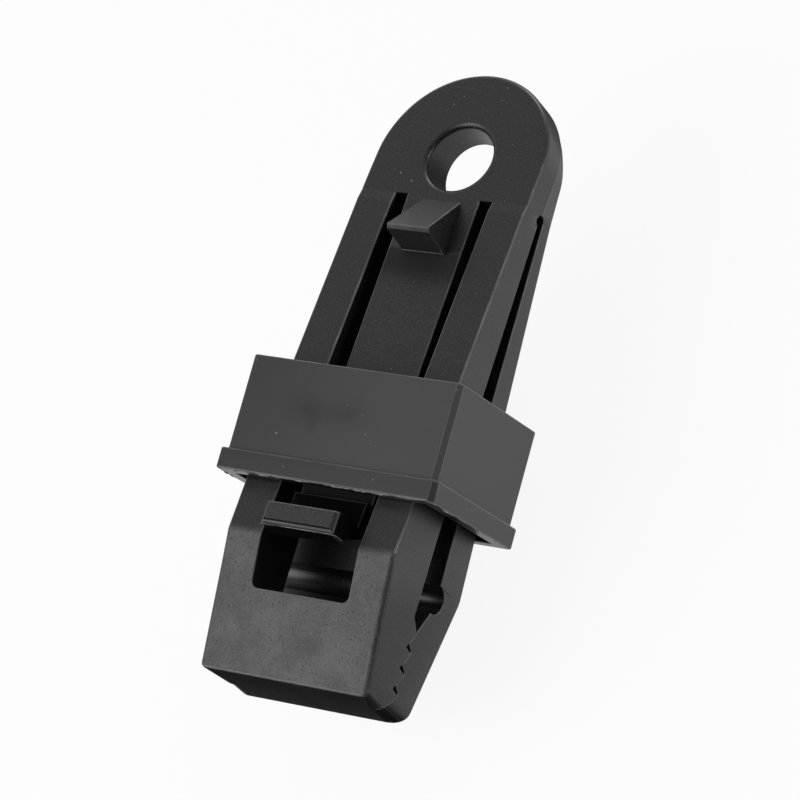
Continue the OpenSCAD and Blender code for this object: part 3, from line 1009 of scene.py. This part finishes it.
def start_material(name):
    """New material with its shader and the object's own coordinates."""
    material = bpy.data.materials.new(name)
    material.use_nodes = True
    tree = material.node_tree
    coords = tree.nodes.new("ShaderNodeTexCoord").outputs["Object"]
    return material, tree, tree.nodes["Principled BSDF"], coords


def weathered_and_highlighted(tree, coords, finish, colour, wear, specks, scratches):
    """Colour with worn outward edges, painted pale also as a painted highlight along them, broken up by a
    broad noise, and with specks and scratches.
    """
    cloud = place(tree, "Cloudy sheen", coords, Scale=260.0)["Cloud"]
    # Worn edges painted pale: wear, and also a painted highlight along the rounded edges
    worn = times(tree, attribute(tree, "wear"), mix_value(tree, 0.55, cloud, 0.8), wear)
    colour = mix_colour(tree, worn, colour, finish.dust_and_highlight_colour)
    dust = place(tree, "Dust and scratches", coords, Specks=specks, Scratches=scratches)
    return mix_colour(tree, dust["Mask"], colour, finish.dust_and_highlight_colour)


def finish_shader(tree, shader, colour, rough, height=None, strength=0.0):
    """Feeds colour, roughness and a bump to the shader."""
    feed(tree, shader.inputs["Base Color"], colour)
    feed(tree, shader.inputs["Roughness"], rough)
    if height is not None:
        values = {"Height": height, "Strength": strength, "Distance": BUMP_DEPTH}
        feed(tree, shader.inputs["Normal"], node(tree, "ShaderNodeBump", values).outputs["Normal"])


def head_layer(tree, coords, finish, grain, colour, rough):
    """Pale parting line round the head's outer wall, and the wall behind it painted paler."""
    x, y, z = axes(tree, coords)
    off_line = math_node(tree, "SUBTRACT", z, PARTING_Z * MM)
    line = fade_between(tree, math_node(tree, "ABSOLUTE", off_line), LINE_WIDTH, 0.9, 0.0)
    behind = fade_between(tree, off_line, BEHIND_LINE, 0.4, 0.0)
    on_head = fade_between(tree, y, HEAD_START)
    to_front = math_node(tree, "ABSOLUTE", attribute(tree, "front"))
    on_wall = ramp(tree, to_front, 0.1, 0.3, 1.0, 0.0)
    squares = (math_node(tree, "POWER", side, 2.0) for side in (x, y))
    off_hole = ramp(tree, math_node(tree, "ADD", *squares), *((r * MM) ** 2 for r in ROUND_HOLE))
    line = times(tree, math_node(tree, "MAXIMUM", line, behind), on_head, on_wall, off_hole)
    return mix_colour(tree, line, colour, shade(finish.dust_and_highlight_colour, 0.5)), rough, grain["Height"]


def nose_layer(tree, coords, finish, grain, colour, rough):
    """Paler satin of the nose's front face: cloudy and pitted, with a weld line under the window."""
    x, y, _ = axes(tree, coords)
    nose = finish.nose_colour
    on_nose = fade_between(tree, y, NOSE_START, 1.0, 0.0)
    on_nose = times(tree, on_nose, ramp(tree, attribute(tree, "front"), 0.6, 0.9, 0.1))
    fine = place(tree, "Fine pits", coords, Scale=3700.0)["Pits"]
    large = place(tree, "Fine pits", coords, Scale=2200.0, Share=0.35)["Pits"]
    pits = math_node(tree, "MAXIMUM", fine, large)
    cloud = place(tree, "Cloudy sheen", coords, Scale=150.0)["Cloud"]
    sheen = mix_value(tree, 0.4, cloud, grain["Speckle"])
    satin = mix_colour(tree, sheen, shade(nose, 0.35), shade(nose, 1.75))
    across = math_node(tree, "ADD", x, times(tree, y, WELD_SLANT))
    off_weld = math_node(tree, "ABSOLUTE", math_node(tree, "SUBTRACT", across, WELD_X * MM))
    weld = fade_between(tree, off_weld, WELD_WIDTH, 0.55, 0.0)
    weld = times(tree, weld, fade_between(tree, y, WELD_END))
    satin = mix_colour(tree, weld, satin, shade(nose, 0.3))
    satin = mix_colour(tree, pits, satin, shade(nose, 0.1))
    height = math_node(tree, "SUBTRACT", grain["Height"], times(tree, pits, on_nose, PIT_DEPTH))
    colour = mix_colour(tree, on_nose, colour, satin)
    return colour, mix_value(tree, on_nose, rough, finish.nose_roughness), height


def tongue_shade_layer(tree, coords, finish, grain, colour, rough):
    """Painted shade: darker, rougher patches under the nub, where its shadow falls, and at the tongue's
    foot, in the collar's shade.
    """
    _, y, z = axes(tree, coords)
    on_foot = fade_between(tree, y, FOOT_SHADE_Y, 1.0, 0.0)
    foot = times(tree, on_foot, fade_between(tree, z, FOOT_SHADE_Z, 1.0, 0.0))
    over_low = fade_between(tree, y, NUB_SHADOW_LOW)
    nub_shadow = times(tree, over_low, fade_between(tree, y, NUB_SHADOW_TOP, 1.0, 0.0), 0.8)
    # Painted shade: both patches get a darker colour as well as more roughness
    painted_shade = math_node(tree, "MAXIMUM", foot, nub_shadow)
    rough = mix_value(tree, painted_shade, math_node(tree, "ADD", rough, 0.1), 0.95)
    return mix_colour(tree, painted_shade, colour, shade(finish.body_colour, 0.05)), rough, grain["Height"]


# Layer over the body's plastic, with painted shade on the tongue, and how worn its edges are, painted pale
# also as a painted highlight
LAYERS = {
    "Body plastic": (head_layer, 0.55),
    "Front jaw plastic": (nose_layer, 0.65),
    "Tongue plastic": (tongue_shade_layer, 0.55),
}


def body_material(name, finish):
    """Black moulded plastic of the body, with the marks of one of its pieces over it."""
    material, tree, shader, coords = start_material(name)
    layer, wear = LAYERS[name]
    base = finish.body_colour
    grain = place(tree, "Moulded grain", coords, Scale=GRAIN_SCALE)
    cloud = place(tree, "Cloudy sheen", coords, Scale=90.0)["Cloud"]
    colour = mix_colour(tree, grain["Speckle"], shade(base, 0.1), shade(base, 2.2))
    rough = mix_value(tree, cloud, finish.body_roughness - 0.05, finish.body_roughness + 0.05)
    colour, rough, height = layer(tree, coords, finish, grain, colour, rough)
    colour = weathered_and_highlighted(tree, coords, finish, colour, wear, 0.4, 0.14)
    finish_shader(tree, shader, colour, rough, height, 0.25)
    return material


def foot_shade_material(name, finish):
    """Painted shade: a darker, rougher black with little reflection for the tongue's foot and the latch
    tab's sides, which lie in the collar's and the tab's shade.
    """
    material, tree, shader, coords = start_material(name)
    base = finish.body_colour
    grain = place(tree, "Moulded grain", coords, Scale=GRAIN_SCALE)
    colour = mix_colour(tree, grain["Speckle"], shade(base, 0.1), shade(base, 0.4))
    finish_shader(tree, shader, weathered_and_highlighted(tree, coords, finish, colour, 0.25, 0.3, 0.0), 0.7)
    # Little reflection, as part of the painted shade
    shader.inputs["Specular IOR Level"].default_value = 0.04
    return material


def collar_material(name, finish):
    """Smoother black plastic of the collar, with painted light: a broad cloud in front, a painted reflection
    darker in colour with a real change of roughness, the colour painted lighter towards the right, and a
    darker flange.
    """
    material, tree, shader, coords = start_material(name)
    base = finish.collar_colour
    cloud = place(tree, "Cloudy sheen", coords, Scale=75.0)["Cloud"]
    grain = place(tree, "Moulded grain", coords, Scale=3200.0)
    # Painted reflection: a broad cloud on the collar's front, darker in colour, with a real change of
    # roughness
    off_sheen = vector_node(tree, "SUBTRACT", coords, PAINTED_SHEEN_AT)[0]
    off_sheen = vector_node(tree, "MULTIPLY", off_sheen, PAINTED_SHEEN_SHAPE)[0]
    away = vector_node(tree, "LENGTH", off_sheen)["Value"]
    clear = ramp(tree, math_node(tree, "ADD", away, cloud), 0.4, 1.5)
    # Painted light: the collar's colour lighter towards the right
    lit_to_right = fade_between(tree, axes(tree, coords)["X"], COLLAR_LIT_SIDES, 0.4, 1.0)
    up = distance_along(tree, coords, (0.0, math.cos(LEAN), math.sin(LEAN)))
    flange_top = FLANGE_LOW + FLANGE_H
    edge = (flange_top - FLANGE_FADE, flange_top + FLANGE_FADE)
    over_flange = fade_between(tree, up, edge, 0.45, 1.0)
    # This mask carries the painted light: the reflection cloud, the lighter right side and the darker flange
    clear = times(tree, clear, lit_to_right, over_flange)
    colour = mix_colour(tree, clear, shade(base, 0.1), shade(base, 2.0))
    rough = mix_value(tree, clear, finish.collar_roughness - 0.06, finish.collar_roughness + 0.14)
    colour = weathered_and_highlighted(tree, coords, finish, colour, 0.45, 0.45, 0.1)
    finish_shader(tree, shader, colour, rough, grain["Height"], 0.12)
    return material


def flash_material(name, finish):
    """Thin torn plastic of the flash: the body's black, worn pale in patches."""
    material, tree, shader, coords = start_material(name)
    cloud = place(tree, "Cloudy sheen", coords, Scale=420.0)["Cloud"]
    colour = mix_colour(tree, cloud, finish.body_colour, shade(finish.dust_and_highlight_colour, 0.9))
    finish_shader(tree, shader, colour, 0.35)
    return material


MATERIALS = {
    **dict.fromkeys(LAYERS, body_material),
    "Tongue foot": foot_shade_material,
    "Collar plastic": collar_material,
    "Flash": flash_material,
}


def cover(piece, name):
    """Gives a piece one more material, which is made the first time."""
    finish = bpy.context.scene.tarpclip_finish
    piece.data.materials.append(bpy.data.materials.get(name) or MATERIALS[name](name, finish))


# Stage


def blank_tree(owner):
    """Empty node tree of a new material or world."""
    owner.use_nodes = True
    owner.node_tree.nodes.clear()
    return owner.node_tree


def emission(tree, colour):
    """Even glow of one colour."""
    return node(tree, "ShaderNodeEmission", {"Color": colour, "Strength": 1.0}).outputs[0]


def seen_ray(tree):
    """1 for camera, glossy and transmission rays, and 0 for the others."""
    path = tree.nodes.new("ShaderNodeLightPath").outputs
    either = math_node(tree, "MAXIMUM", path["Is Camera Ray"], path["Is Glossy Ray"])
    return math_node(tree, "MAXIMUM", either, path["Is Transmission Ray"])


def floor_material(stage):
    """Pale floor: white when seen or reflected, with part of the shadow, and clear from below."""
    material = bpy.data.materials.new("Pale floor")
    tree = blank_tree(material)
    matte = node(tree, "ShaderNodeBsdfDiffuse", {"Color": stage.floor_colour}).outputs[0]
    share = times(tree, seen_ray(tree), FLOOR_WHITE)
    pale = node(tree, "ShaderNodeMixShader", {0: share, 1: matte, 2: emission(tree, (1.0, 1.0, 1.0))})
    clear = tree.nodes.new("ShaderNodeBsdfTransparent").outputs[0]
    below = tree.nodes.new("ShaderNodeNewGeometry").outputs["Backfacing"]
    one_sided = node(tree, "ShaderNodeMixShader", {0: below, 1: pale.outputs[0], 2: clear})
    node(tree, "ShaderNodeOutputMaterial", {"Surface": one_sided.outputs[0]})
    return material


def make_world(stage):
    """Soft surroundings: paler towards the head's end and the left, dimmer towards the other side."""
    world = bpy.data.worlds.new("Pale surroundings")
    bpy.context.scene.world = world
    tree = blank_tree(world)
    coords = tree.nodes.new("ShaderNodeTexCoord").outputs["Generated"]
    sky = ramp(tree, distance_along(tree, coords, SKY_SIDE), -0.5, 0.9, stage.sky_low, stage.sky_level)
    horizon = ramp(tree, distance_along(tree, coords, HORIZON_RISE), -0.3, -0.02, 0.0, 0.9)
    level = math_node(tree, "MAXIMUM", sky, horizon)
    grey = node(tree, "ShaderNodeCombineXYZ", {0: level, 1: level, 2: level}).outputs[0]
    glow = node(tree, "ShaderNodeBackground", {"Color": grey, "Strength": 1.0}).outputs[0]
    node(tree, "ShaderNodeOutputWorld", {"Surface": glow})


def flat_sheet(name, box, z, material):
    """Flat sheet in metres between its left, right, lower and upper side."""
    x0, x1, y0, y1 = box
    mesh = bpy.data.meshes.new(name)
    mesh.from_pydata([(x0, y0, z), (x1, y0, z), (x1, y1, z), (x0, y1, z)], [], [(0, 1, 2, 3)])
    mesh.materials.append(material)
    sheet = bpy.data.objects.new(name, mesh)
    bpy.context.scene.collection.objects.link(sheet)
    return sheet


def shadow_card(name, level, box, grey):
    """Grey glowing card on the floor, a painted shadow of the floor round the clip: only soft reflections in
    the plastic show it.
    """
    material = bpy.data.materials.new(name)
    tree = blank_tree(material)
    node(tree, "ShaderNodeOutputMaterial", {"Surface": emission(tree, (grey, grey, grey))})
    card = flat_sheet(name, [v * MM for v in box], level + CARD_LIFT * MM, material)
    card.visible_camera = False
    card.visible_diffuse = False
    card.visible_shadow = False
    return card


def softbox(name, direction, size, power):
    """Square area lamp that stands off in a direction and faces the object's middle."""
    data = bpy.data.lights.new(name, "AREA")
    data.shape = "SQUARE"
    data.size = size
    data.energy = power
    lamp = bpy.data.objects.new(name, data)
    bpy.context.scene.collection.objects.link(lamp)
    way = Vector(direction).normalized()
    lamp.location = Vector(LAMP_AIM) + way * LAMP_DISTANCE
    lamp.rotation_mode = "QUATERNION"
    lamp.rotation_quaternion = way.to_track_quat("Z", "Y")


def make_camera():
    """Camera at the viewing angle of the photograph."""
    data = bpy.data.cameras.new("Camera")
    data.sensor_width = SENSOR
    data.lens = LENS
    data.clip_start, data.clip_end = CLIP
    camera = bpy.data.objects.new("Camera", data)
    bpy.context.scene.collection.objects.link(camera)
    turn = Matrix((CAMERA_RIGHT, CAMERA_UP, CAMERA_BACK)).transposed().to_4x4()
    camera.matrix_world = Matrix.Translation(CAMERA_AT) @ turn
    bpy.context.scene.camera = camera


# Settings


def round_setting(name, description, size, least, most):
    """Setting for a small round, given in millimetres and kept in metres."""
    return FloatProperty(
        name=name, description=description, default=size * MM, min=least * MM, max=most * MM,
        precision=4, unit="LENGTH", subtype="DISTANCE",
    )


def colour_setting(name, description, default):
    """Setting for a colour."""
    return FloatVectorProperty(
        name=name, description=description, default=default, min=0, max=1, subtype="COLOR"
    )


def share_setting(name, description, default, least, most):
    """Setting for a share of 1."""
    return FloatProperty(
        name=name, description=description, default=default, min=least, max=most, subtype="FACTOR"
    )


def power_setting(name, description, default):
    """Setting for a lamp's power."""
    return FloatProperty(name=name, description=description, default=default, min=0, max=20, unit="POWER")


class TARPCLIP_PG_shape(bpy.types.PropertyGroup):
    """Small sizes of the moulding that the CAD leaves plain."""

    rim_round: round_setting("Hole rim round", "Round on the rope hole's front rim", 0.9, 0.2, 1.2)
    crown_round: round_setting("Crown round", "Round on the head's front edge at its top", 0.85, 0.2, 1.2)
    edge_round: round_setting(
        "Rail edge round", "Round on the edges of the rails and the window", 0.26, 0.05, 0.5
    )
    nose_round: round_setting("Nose round", "Round on the lower front edge of the front jaw", 0.45, 0.2, 1.2)
    collar_round: round_setting(
        "Collar edge round", "Round on the edges of the collar and its flange", 0.25, 0.05, 0.4
    )


class TARPCLIP_PG_finish(bpy.types.PropertyGroup):
    """Colours and gloss of the plastic."""

    body_colour: colour_setting("Body colour", "Colour of the body's plastic", (0.0085, 0.0085, 0.0088))
    nose_colour: colour_setting(
        "Nose colour", "Colour of the worn satin face of the nose", (0.048, 0.048, 0.0485)
    )
    collar_colour: colour_setting("Collar colour", "Colour of the collar's plastic", (0.018, 0.018, 0.0183))
    # The dust colour also paints the worn edges, which stand partly for painted highlights
    dust_and_highlight_colour: colour_setting("Dust and highlight colour", "Colour of the specks and scratches", (0.22, 0.22, 0.22))
    body_roughness: share_setting("Body roughness", "Roughness of the body's plastic", 0.36, 0.1, 0.9)
    nose_roughness: share_setting("Nose roughness", "Roughness of the nose's satin face", 0.5, 0.1, 0.9)
    collar_roughness: share_setting("Collar roughness", "Roughness of the collar's plastic", 0.36, 0.1, 0.9)


class TARPCLIP_PG_stage(bpy.types.PropertyGroup):
    """Floor, surroundings and lamps."""

    floor_colour: colour_setting("Floor colour", "Colour of the floor", (0.9, 0.9, 0.9))
    sky_level: share_setting(
        "Pale side", "Brightness of the palest side of the surroundings, where 1 is white", 0.69, 0, 1
    )
    sky_low: share_setting(
        "Dim side", "Brightness of the dimmest side of the surroundings, where 1 is white", 0.12, 0, 1
    )
    head_power: power_setting(
        "Head lamp", "Power of the lamp behind the head, which lights the crown's edge", 0.8
    )
    edge_power: power_setting("Edge lamp", "Power of the lamp that draws the right-hand edges", 1.0)
    key_power: power_setting("Main lamp", "Power of the large lamp over the object", 2.1)


# Operators


class TARPCLIP_OT_stage(bpy.types.Operator):
    """Makes the floor, the surroundings, the lamps and the camera"""

    bl_idname = "tarpclip.stage"
    bl_label = "Stage"

    def execute(self, context):
        stage = context.scene.tarpclip_stage
        context.scene.view_settings.view_transform = "Standard"
        make_world(stage)
        level = CAD_BOX[0].z - FLOOR_GAP * MM
        box = (-FLOOR_HALF, FLOOR_HALF, -FLOOR_HALF, FLOOR_HALF)
        floor = flat_sheet("floor", box, level, floor_material(stage))
        # Painted shadow: glowing grey cards that darken the floor round the clip in reflections
        shadow_card("card_by_jaws", level, JAW_SHADOW_CARD, 0.01)
        shadow_card("card_by_head", level, HEAD_SHADOW_CARD, 0.12)
        shadow_card("card_beside_jaws", level, SIDE_SHADOW_CARD, 0.62)
        for name, (direction, size, power) in LAMPS.items():
            softbox(name, direction, size, getattr(stage, power))
        make_camera()
        return {"FINISHED"}


class TARPCLIP_OT_head(bpy.types.Operator):
    """Makes the head with its rope hole"""

    bl_idname = "tarpclip.head"
    bl_label = "Head"

    def execute(self, context):
        shape = context.scene.tarpclip_shape
        piece = head_shell("head_plate", shape.rim_round / MM, shape.crown_round / MM)
        cover(piece, "Body plastic")
        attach(piece, "head")
        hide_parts("head")
        return {"FINISHED"}


def bend_on_web(piece):
    """Bakes the piece's placement into its mesh."""
    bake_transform(piece)


class TARPCLIP_OT_front_jaw(bpy.types.Operator):
    """Makes the front jaw with its rails, window, nose and teeth"""

    bl_idname = "tarpclip.front_jaw"
    bl_label = "Front jaw"

    def execute(self, context):
        shape = context.scene.tarpclip_shape
        piece = front_jaw_shell("front_jaw_body", shape.edge_round / MM, shape.nose_round / MM)
        cover(piece, "Front jaw plastic")
        bend_on_web(piece)
        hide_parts("front_jaw", "front_webs")
        return {"FINISHED"}


class TARPCLIP_OT_rear_jaw(bpy.types.Operator):
    """Makes the rear jaw with its tarp channel and teeth"""

    bl_idname = "tarpclip.rear_jaw"
    bl_label = "Rear jaw"

    def execute(self, context):
        edge = context.scene.tarpclip_shape.edge_round / MM
        piece = plate("rear_jaw_body", *rear_jaw_outlines(), BODY_HALF, REAR_CORNER, INNER_EDGE, edge)
        cover(piece, "Body plastic")
        bend_on_web(piece)
        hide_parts("rear_jaw", "rear_web")
        return {"FINISHED"}


def paint_foot_shade(tongue):
    """Gives the second material, the painted shade, to the tongue's foot and tab, but for the tab's front
    face.
    """
    faces = tongue.data.polygons
    centres = read(faces, "center", 3)
    to_front = read(faces, "normal", 3)[:, 2] > FACES_FRONT
    tab_front = (centres[:, 2] > TAB_FRONT_Z * MM) & to_front
    low = centres[:, 1] < FOOT_Y * MM
    faces.foreach_set("material_index", (low & ~tab_front).astype(int))


class TARPCLIP_OT_tongue(bpy.types.Operator):
    """Makes the spring tongue with its latch tab, and the nub on it"""

    bl_idname = "tarpclip.tongue"
    bl_label = "Tongue and nub"

    def execute(self, context):
        rounds = (TONGUE_HALF, TONGUE_CORNER, tongue_edge, TONGUE_EDGE)
        tongue = plate("spring_tongue", *tongue_outlines(), *rounds)
        rounds = (NUB_HALF, NUB_CORNER, INNER_EDGE, NUB_BACK_EDGE)
        nub = plate("tongue_nub", *nub_outlines(), *rounds, spread=NUB_SPREAD)
        cover(tongue, "Tongue plastic")
        cover(nub, "Tongue plastic")
        # The tongue's second material is painted shade on its foot and the tab's sides
        cover(tongue, "Tongue foot")
        paint_foot_shade(tongue)
        for piece in (tongue, nub):
            bend_on_web(piece)
        flash = tab_flash("tab_flash")
        cover(flash, "Flash")
        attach(flash, "tongue")
        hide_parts("tongue", "tongue_web")
        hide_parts("tongue")
        return {"FINISHED"}


class TARPCLIP_OT_collar(bpy.types.Operator):
    """Makes the flanged collar"""

    bl_idname = "tarpclip.collar"
    bl_label = "Collar"

    def execute(self, context):
        piece = collar_shell("collar_sleeve", context.scene.tarpclip_shape.collar_round / MM)
        cover(piece, "Collar plastic")
        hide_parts("collar")
        flash = collar_flash("collar_flash")
        cover(flash, "Flash")
        for made in (piece, flash):
            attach(made, "collar")
        return {"FINISHED"}


STEPS = (
    TARPCLIP_OT_stage,
    TARPCLIP_OT_head,
    TARPCLIP_OT_front_jaw,
    TARPCLIP_OT_rear_jaw,
    TARPCLIP_OT_tongue,
    TARPCLIP_OT_collar,
)
SETTINGS = {
    "tarpclip_shape": TARPCLIP_PG_shape,
    "tarpclip_finish": TARPCLIP_PG_finish,
    "tarpclip_stage": TARPCLIP_PG_stage,
}


class TARPCLIP_PT_panel(bpy.types.Panel):
    """Lists the pieces of the tarp clip and their settings"""

    bl_idname = "TARPCLIP_PT_panel"
    bl_label = "Tarp Clip"
    bl_space_type = "VIEW_3D"
    bl_region_type = "UI"
    bl_category = "Tarp Clip"

    def draw(self, context):
        layout = self.layout
        for step in STEPS:
            layout.operator(step.bl_idname)
        for name in SETTINGS:
            group = getattr(context.scene, name)
            box = layout.box()
            for key in group.__annotations__:
                box.prop(group, key)


def register():
    """Adds the settings, the operators and the panel."""
    for name, group in SETTINGS.items():
        bpy.utils.register_class(group)
        setattr(bpy.types.Scene, name, PointerProperty(type=group))
    for step in STEPS:
        bpy.utils.register_class(step)
    bpy.utils.register_class(TARPCLIP_PT_panel)


def unregister():
    """Takes the panel, the operators and the settings away again."""
    bpy.utils.unregister_class(TARPCLIP_PT_panel)
    for step in reversed(STEPS):
        bpy.utils.unregister_class(step)
    for name, group in SETTINGS.items():
        delattr(bpy.types.Scene, name)
        bpy.utils.unregister_class(group)


def main():
    """Adds the settings, then makes the stage and every piece."""
    register()
    bpy.ops.tarpclip.stage()
    bpy.ops.tarpclip.head()
    bpy.ops.tarpclip.front_jaw()
    bpy.ops.tarpclip.rear_jaw()
    bpy.ops.tarpclip.tongue()
    bpy.ops.tarpclip.collar()


if __name__ == "__main__":
    main()
